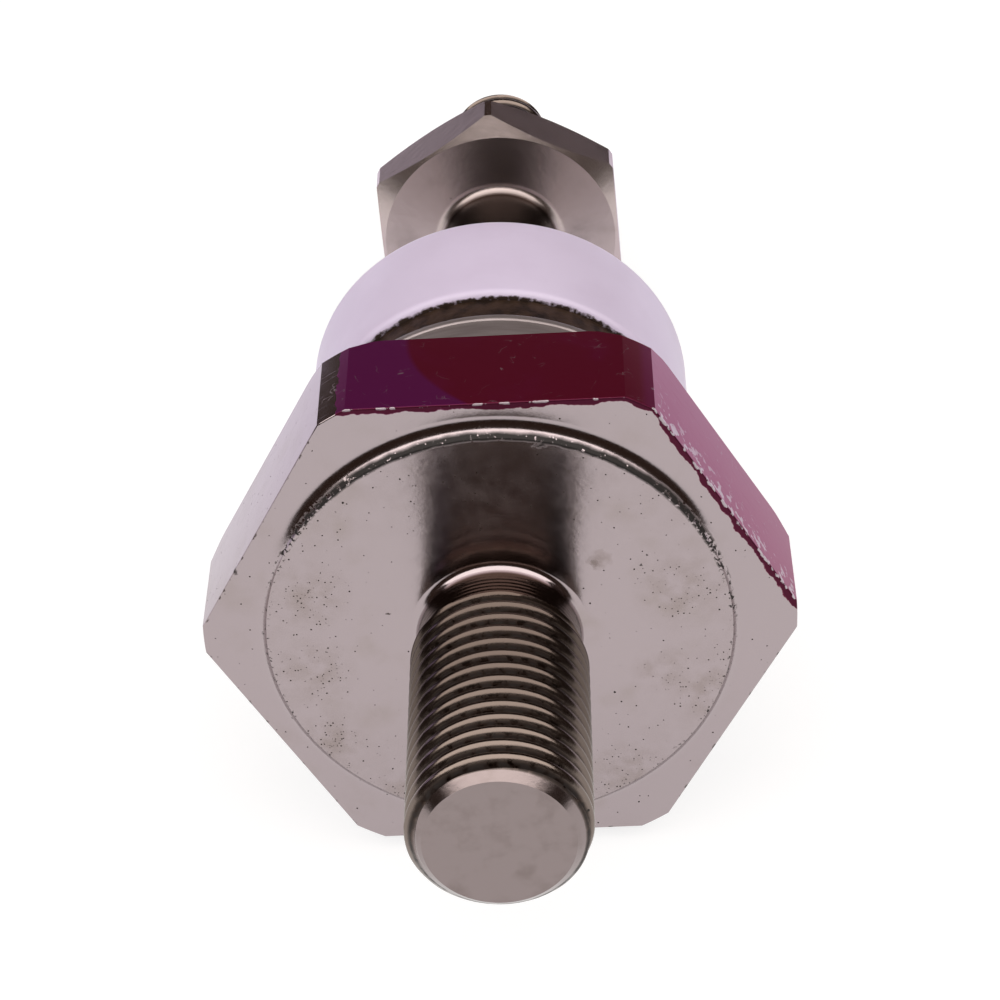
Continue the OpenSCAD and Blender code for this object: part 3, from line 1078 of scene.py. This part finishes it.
@dataclass(frozen=True)
class StudBase:
    """Hex base with its raised seat, the neck of the stud and the pedestal in the case, in millimetres."""

    stud_r: float = 4.765
    stud_l: float = 17.4
    stud_chamfer: float = 0.88
    stud_pitch: float = 1.058
    stud_start: float = 0.34
    thread_depth: float = 0.649
    neck_step: float = 0.4
    neck_l: float = 2.3
    root_l: float = 1.0
    neck_fillet: float = 0.5
    hex_af: float = 28.6
    hex_corner_cut: float = 0.48
    hex_t: float = 6.7
    hex_bevel: float = 0.6
    hex_edge: float = 0.1
    seat_r: float = 12.55
    seat_h: float = 0.62
    seat_cove: float = 1.0
    pedestal_r: float = 7.45
    pedestal_h: float = 0.8

    def cove(self) -> list[Point]:
        """Crisp edge of the seat and the cove that runs out from it into the hex face."""
        steps = 14
        radius = (self.seat_cove ** 2 + self.seat_h ** 2) / (2 * self.seat_h)
        bends = [math.asin(self.seat_cove / radius) * (1 - i / steps) for i in range(steps + 1)]
        outer_r = self.seat_r + self.seat_cove
        return [(outer_r - radius * math.sin(a), self.seat_h - radius * (1 - math.cos(a))) for a in bends]

    def base_mesh(self) -> Mesh:
        """Mesh of the base without the thread, the flats of its hex facing up and down."""
        plan = Hex.turned(self.hex_af, self.hex_corner_cut, math.pi / 2)
        top, neck_r = self.seat_h + self.hex_t, self.stud_r - self.neck_step
        neck = [Corner(0, -self.root_l), Corner(neck_r, -self.root_l), Corner(neck_r, 0, self.neck_fillet),
                Corner(self.seat_r - FACE_RING, 0)]
        back = plan.cone(plan.corner_r - self.hex_bevel, top, -1, 1.0)
        pedestal_top = top + self.pedestal_h
        inside = [(self.pedestal_r, top), (self.pedestal_r, pedestal_top), (0, pedestal_top)]
        outline = rings(rounded(neck, closed=False) + self.cove()) + plan.edge(self.seat_h, self.hex_edge)
        outline += list(reversed(back)) + rings(inside)
        return revolve("hex_base", outline, plan.angles(), closed=False)

    def thread(self) -> Thread:
        """Thread of the stud, which fades out into its neck."""
        return Thread(self.stud_l - self.root_l, self.stud_pitch, self.stud_start, self.stud_r,
                      self.thread_depth, self.stud_r - self.neck_step, self.neck_l - self.root_l,
                      self.neck_step, 2 * self.stud_pitch, self.stud_r - self.stud_chamfer,
                      self.stud_chamfer, ThreadEnd.CHAMFER)

    def build(self, tree: ThreadTree) -> None:
        """Builds and dresses the base and its thread.

        Args:
            tree: Tree that makes threads.
        """
        piece(self.base_mesh(), LacqueredBase().material("lacquered_nickel"), "stud_base")
        finish = NickelPlate().threaded("stud_nickel", self.stud_r, self.stud_r - self.thread_depth,
                                        -self.root_l, -self.stud_l)
        # A half turn about X points the thread down the stud and keeps it right-handed
        place = Matrix.Translation((0, 0, -self.root_l)) @ Matrix.Rotation(math.pi, 4, "X")
        piece(self.thread().mesh("stud_thread", tree, place, finish), finish, "stud_base")


@dataclass(frozen=True)
class SealedCase:
    """Case ring, seal flange, ceramic and seal cap, in millimetres."""

    hex_top: float = 7.32
    case_r: float = 11.35
    case_h: float = 7.25
    bead_proud: float = 0.09
    bead_l: float = 0.6
    case_bore: float = 7.6
    spigot_r: float = 8.8
    spigot_top: float = 17.72
    groove_r: float = 8.1
    groove_z: float = 16.02
    groove_h: float = 1.0
    flange_set: float = 0.5
    flange_t: float = 0.7
    flange_neck_h: float = 2.1
    flange_neck_r: float = 10.55
    ceramic_r: float = 11.1
    ceramic_bore: float = 9.05
    ceramic_h: float = 8.7
    ceramic_round_low: float = 0.5
    ceramic_round_top: float = 1.0
    cap_r: float = 9.7
    cap_bore: float = 3.6
    cap_t: float = 0.8
    cap_collar_h: float = 2.6
    edge: float = 0.1

    @property
    def ledge_z(self) -> float:
        """Height of the weld ledge."""
        return self.hex_top + self.case_h

    @property
    def ceramic_z(self) -> float:
        """Height of the ceramic's end next to the base."""
        return self.ledge_z + self.flange_t + self.flange_neck_h

    @property
    def ceramic_top(self) -> float:
        """Height of the ceramic's other end."""
        return self.ceramic_z + self.ceramic_h

    def case_ring(self) -> list[Corner]:
        """Outline of the ring with the bead at its weld ledge, its spigot and its groove."""
        band_r, bead_z = self.case_r - self.bead_proud, self.ledge_z - self.bead_l
        bore, groove_top = self.case_bore, self.groove_z + self.groove_h
        return [Corner(bore, self.hex_top), Corner(band_r, self.hex_top, self.edge),
                Corner(band_r, bead_z), Corner(self.case_r, bead_z + self.bead_proud, 2 * self.edge),
                Corner(self.case_r, self.ledge_z, 2 * self.edge), Corner(self.spigot_r, self.ledge_z),
                Corner(self.spigot_r, self.spigot_top, self.edge), Corner(bore, self.spigot_top),
                Corner(bore, groove_top), Corner(self.groove_r, groove_top),
                Corner(self.groove_r, self.groove_z), Corner(bore, self.groove_z)]

    def seal_flange(self) -> list[Corner]:
        """Outline of the flange's foot and neck."""
        foot_r, foot_top = self.case_r - self.flange_set, self.ledge_z + self.flange_t
        return [Corner(self.ceramic_bore, self.ledge_z), Corner(foot_r, self.ledge_z, self.edge),
                Corner(foot_r, foot_top, 2 * self.edge), Corner(self.flange_neck_r, foot_top, 2 * self.edge),
                Corner(self.flange_neck_r, self.ceramic_z), Corner(self.ceramic_bore, self.ceramic_z)]

    def ceramic(self) -> list[Corner]:
        """Outline of the ceramic tube."""
        return [Corner(self.ceramic_bore, self.ceramic_z),
                Corner(self.ceramic_r, self.ceramic_z, self.ceramic_round_low),
                Corner(self.ceramic_r, self.ceramic_top, self.ceramic_round_top),
                Corner(self.ceramic_bore, self.ceramic_top, 2 * self.edge)]

    def seal_cap(self) -> list[Corner]:
        """Outline of the cap with the collar round the post."""
        flat, sleeve_r = self.ceramic_top + self.cap_t, self.cap_bore + self.cap_t
        return [Corner(self.cap_bore, self.ceramic_top), Corner(self.cap_r, self.ceramic_top, self.edge),
                Corner(self.cap_r, flat, 3 * self.edge), Corner(sleeve_r, flat, 5 * self.edge),
                Corner(sleeve_r, flat + self.cap_collar_h, 3 * self.edge),
                Corner(self.cap_bore, flat + self.cap_collar_h)]

    def build(self) -> None:
        """Builds and dresses the four pieces."""
        alloy = SealingAlloy().material("sealing_alloy")
        steel = CaseSteel().material("case_steel", self.hex_top)
        alumina = Alumina().material("glazed_alumina", self.ceramic_z)
        cap = CapPlate().material("satin_nickel")
        turn = [math.tau * i / TURN_STEPS for i in range(TURN_STEPS)]
        for name, corners, material, node, slot in (
                ("weld_ring", self.case_ring(), steel, "case_ring", "case_steel"),
                ("flange_neck", self.seal_flange(), alloy, "seal_flange", "seal_alloy"),
                ("alumina_tube", self.ceramic(), alumina, "ceramic_insulator", "alumina"),
                ("braze_cap", self.seal_cap(), cap, "seal_cap", "seal_alloy")):
            outline = rings(rounded(corners, closed=True))
            piece(revolve(name, outline, turn, closed=True), material, node)


@dataclass(frozen=True)
class TerminalPost:
    """Neck, hex collar and threaded end of the terminal, in millimetres."""

    post_r: float = 3.55
    post_z: float = 24.07
    post_fillet: float = 0.7
    socket_r: float = 1.75
    socket_depth: float = 4.0
    collar_af: float = 15.2
    collar_z: float = 42.82
    collar_t: float = 3.4
    collar_face_set: float = 0.2
    collar_chamfer: float = math.radians(30)
    collar_turn: float = math.radians(-2.3)
    collar_corner_cut: float = 0.12
    tip_r: float = 3.175
    tip_l: float = 11.7
    tip_round: float = 1.1
    tip_pitch: float = 0.907
    thread_depth: float = 0.556
    # The thread starts on a short plain neck, hardly thinner than the crests
    neck_step: float = 0.02
    neck_l: float = 0.1

    def post_mesh(self) -> Mesh:
        """Mesh of the neck and the collar."""
        plan = Hex.turned(self.collar_af, self.collar_corner_cut, self.collar_turn)
        face_r = self.collar_af / 2 - self.collar_face_set
        slope, top = math.tan(self.collar_chamfer), self.collar_z + self.collar_t
        socket_end = self.post_z + self.socket_depth
        neck = rounded([Corner(0, socket_end), Corner(self.socket_r, socket_end),
                        Corner(self.socket_r, self.post_z), Corner(self.post_r, self.post_z),
                        Corner(self.post_r, self.collar_z, self.post_fillet),
                        Corner(face_r - FACE_RING, self.collar_z)], closed=False)
        outline = rings(neck) + plan.cone(face_r, self.collar_z, 1, slope)
        outline += list(reversed(plan.cone(face_r, top, -1, slope))) + rings([(0, top)])
        return revolve("post_and_collar", outline, plan.angles(), closed=False)

    def thread(self) -> Thread:
        """Thread of the terminal over its collar."""
        return Thread(self.tip_l, self.tip_pitch, 0.0, self.tip_r, self.thread_depth,
                      self.tip_r - self.neck_step, self.neck_l, self.neck_l, 1.5 * self.tip_pitch,
                      self.tip_r - self.tip_round, self.tip_round, ThreadEnd.DOME)

    def build(self, tree: ThreadTree) -> None:
        """Builds and dresses the post and its thread.

        Args:
            tree: Tree that makes threads.
        """
        plate = NickelPlate().post("post_nickel", self.collar_z, self.post_fillet)
        piece(self.post_mesh(), plate, "terminal_post")
        start_z = self.collar_z + self.collar_t
        finish = NickelPlate().threaded("terminal_nickel", self.tip_r, self.tip_r - self.thread_depth,
                                        start_z, start_z + self.tip_l)
        thread = self.thread().mesh("terminal_thread", tree, Matrix.Translation((0, 0, start_z)), finish)
        piece(thread, finish, "terminal_post")


class InnerStack:
    """Sealed pressure-contact pieces, which stay as the CAD has them."""

    FINISHES = {
        "lower_molybdenum_disc": Inner.MOLYBDENUM,
        "upper_molybdenum_disc": Inner.MOLYBDENUM,
        "silicon_wafer": Inner.SILICON,
        "junction_seal_ring": Inner.SILICONE_RUBBER,
        "contact_button": Inner.COPPER,
        "insulating_bush": Inner.FLUOROPOLYMER,
        "thrust_washer": Inner.SPRING_STEEL,
        "disc_spring_1": Inner.SPRING_STEEL,
        "disc_spring_2": Inner.SPRING_STEEL,
        "disc_spring_3": Inner.SPRING_STEEL,
        "retaining_ring": Inner.SPRING_STEEL,
        "flexible_lead": Inner.COPPER_ROPE,
    }

    def build(self) -> None:
        """Dresses the pieces."""
        materials = {finish: finish.material() for finish in Inner}
        for node, finish in self.FINISHES.items():
            held = frame["nodes"][node]
            held.data.materials.clear()
            held.data.materials.append(materials[finish])
            LOG.info("%s: %s", node, finish.name.lower())


@dataclass(frozen=True)
class Studio:
    """Pale floor, large soft box overhead, small window at the left and dim room with a low wall behind."""

    floor_size: float = 6.0
    floor: str = "#f4f2f3"
    floor_far: str = "#efe6ff"
    # Grey of the floor and its glow where it is seen, and where it turns lavender behind, in metres
    seen_grey: float = 0.3
    seen_glow: float = 0.8
    far: Point = (-0.01, 0.04)
    room: str = "#3a2c24"
    wall: str = "#564c48"
    # Height and depth of a view's direction between which the wall behind comes in
    wall_low: Point = (0.3, 0.1)
    wall_back: Point = (0.0, 0.35)
    box: str = "#fffaf6"
    box_place: tuple[float, float, float] = (0.0, -0.115, 0.45)
    box_size: Point = (1.45, 0.47)
    box_power: float = 5.0
    window: str = "#d9c8ff"
    window_place: tuple[float, float, float] = (-0.62, 0.2, 0.2)
    window_size: Point = (0.12, 0.12)
    window_power: float = 0.12

    def build_floor(self) -> None:
        """Floor that is white to the eye and to reflections, and keeps the shadow."""
        half = self.floor_size / 2
        mesh = bpy.data.meshes.new("floor")
        corners = [(-half, -half, 0), (half, -half, 0), (half, half, 0), (-half, half, 0)]
        mesh.from_pydata(corners, [], [(0, 1, 2, 3)])
        floor = bpy.data.objects.new("floor", mesh)
        bpy.context.scene.collection.objects.link(floor)
        material = bpy.data.materials.new("pale_floor")
        material.use_nodes = True
        material.node_tree.nodes.clear()
        node = partial(add, material.node_tree)
        path = node("LightPath").node.outputs
        seen = node("MAXIMUM", path["Is Camera Ray"], path["Is Glossy Ray"])
        seen = node("MAXIMUM", seen, path["Is Transmission Ray"])
        matt = node("BsdfDiffuse", srgb(self.floor))
        pale = node("BsdfDiffuse", (self.seen_grey, self.seen_grey, self.seen_grey, 1.0))
        depth = node("SeparateXYZ", node("NewGeometry", out="Position"), out="Y")
        far = node("MULTIPLY", node("MapRange", depth, *self.far), path["Is Glossy Ray"])
        tone = node("Mix", far, named={COLOUR_A: srgb("#ffffff"), COLOUR_B: srgb(self.floor_far)},
                    out=COLOUR_OUT, data_type="RGBA")
        white = node("AddShader", pale, node("Emission", tone, self.seen_glow))
        node("OutputMaterial", node("MixShader", seen, matt, white))
        mesh.materials.append(material)

    def build_room(self) -> None:
        """Dim brown room, with a paler wall low down behind the diode."""
        world = bpy.data.worlds.new("studio_room")
        world.use_nodes = True
        world.node_tree.nodes.clear()
        node = partial(add, world.node_tree)
        way = node("SeparateXYZ", node("TexCoord", out="Generated")).node.outputs
        low = node("MapRange", way["Z"], *self.wall_low)
        back = node("MapRange", way["Y"], *self.wall_back)
        share = node("MULTIPLY", low, back)
        tone = node("Mix", share, named={COLOUR_A: srgb(self.room), COLOUR_B: srgb(self.wall)},
                    out=COLOUR_OUT, data_type="RGBA")
        node("OutputWorld", node("Background", tone, 1.0))
        bpy.context.scene.world = world

    def lamp(self, name: str, place: Vector, size: Point, power: float, colour: str) -> None:
        """Adds a soft rectangular lamp that faces the diode.

        Args:
            name: Name of the lamp.
            place: Its place in metres.
            size: Width and depth in metres.
            power: Power in watts.
            colour: sRGB hex colour.
        """
        light = bpy.data.lights.new(name, "AREA")
        light.shape = "RECTANGLE"
        light.size, light.size_y = size
        light.energy = power
        light.color = srgb(colour)[:3]
        made = bpy.data.objects.new(name, light)
        made.location = place
        made.rotation_euler = (-place).to_track_quat("-Z", "Y").to_euler()
        made.visible_camera = False
        bpy.context.scene.collection.objects.link(made)

    def build(self) -> None:
        """Builds the floor, the room and the lamps."""
        self.build_floor()
        self.build_room()
        self.lamp("overhead_box", Vector(self.box_place), self.box_size, self.box_power, self.box)
        self.lamp("lavender_window", Vector(self.window_place), self.window_size, self.window_power,
                  self.window)


@dataclass(frozen=True)
class ViewPoint:
    """Camera at the photograph's place, in millimetres and degrees from the seat centre and the stud axis."""

    x: float = 5.929
    up: float = 105.22
    along: float = -143.079
    yaw: float = -2.18
    pitch: float = 33.99
    roll: float = -3.77
    lens: float = 118.9
    sensor: float = 36.0

    def build(self) -> None:
        """Adds the camera and makes it the scene's own."""
        yaw, pitch = math.radians(self.yaw), math.radians(self.pitch)
        turn = AXES.turn.to_matrix()
        level = math.cos(pitch)
        forward = turn @ Vector((math.sin(yaw) * level, math.sin(pitch), math.cos(yaw) * level))
        right = forward.cross(turn @ Vector((0, -1, 0))).normalized()
        facing = Matrix((right, right.cross(forward), -forward)).transposed()
        data = bpy.data.cameras.new("photo_camera")
        data.lens, data.sensor_width = self.lens, self.sensor
        camera = bpy.data.objects.new("photo_camera", data)
        rolled = facing @ Matrix.Rotation(math.radians(self.roll), 3, "Z")
        camera.matrix_world = Matrix.LocRotScale(AXES.place(self.x, self.up, self.along), rolled, None)
        bpy.context.scene.collection.objects.link(camera)
        bpy.context.scene.camera = camera


def main() -> None:
    """Builds the diode, the studio and the camera."""
    logging.basicConfig(level=logging.INFO, format="%(name)s %(message)s")
    bpy.context.scene.view_settings.view_transform = "Standard"
    tree = ThreadTree()
    StudBase().build(tree)
    SealedCase().build()
    TerminalPost().build(tree)
    InnerStack().build()
    Studio().build()
    ViewPoint().build()


if __name__ == "__main__":
    main()
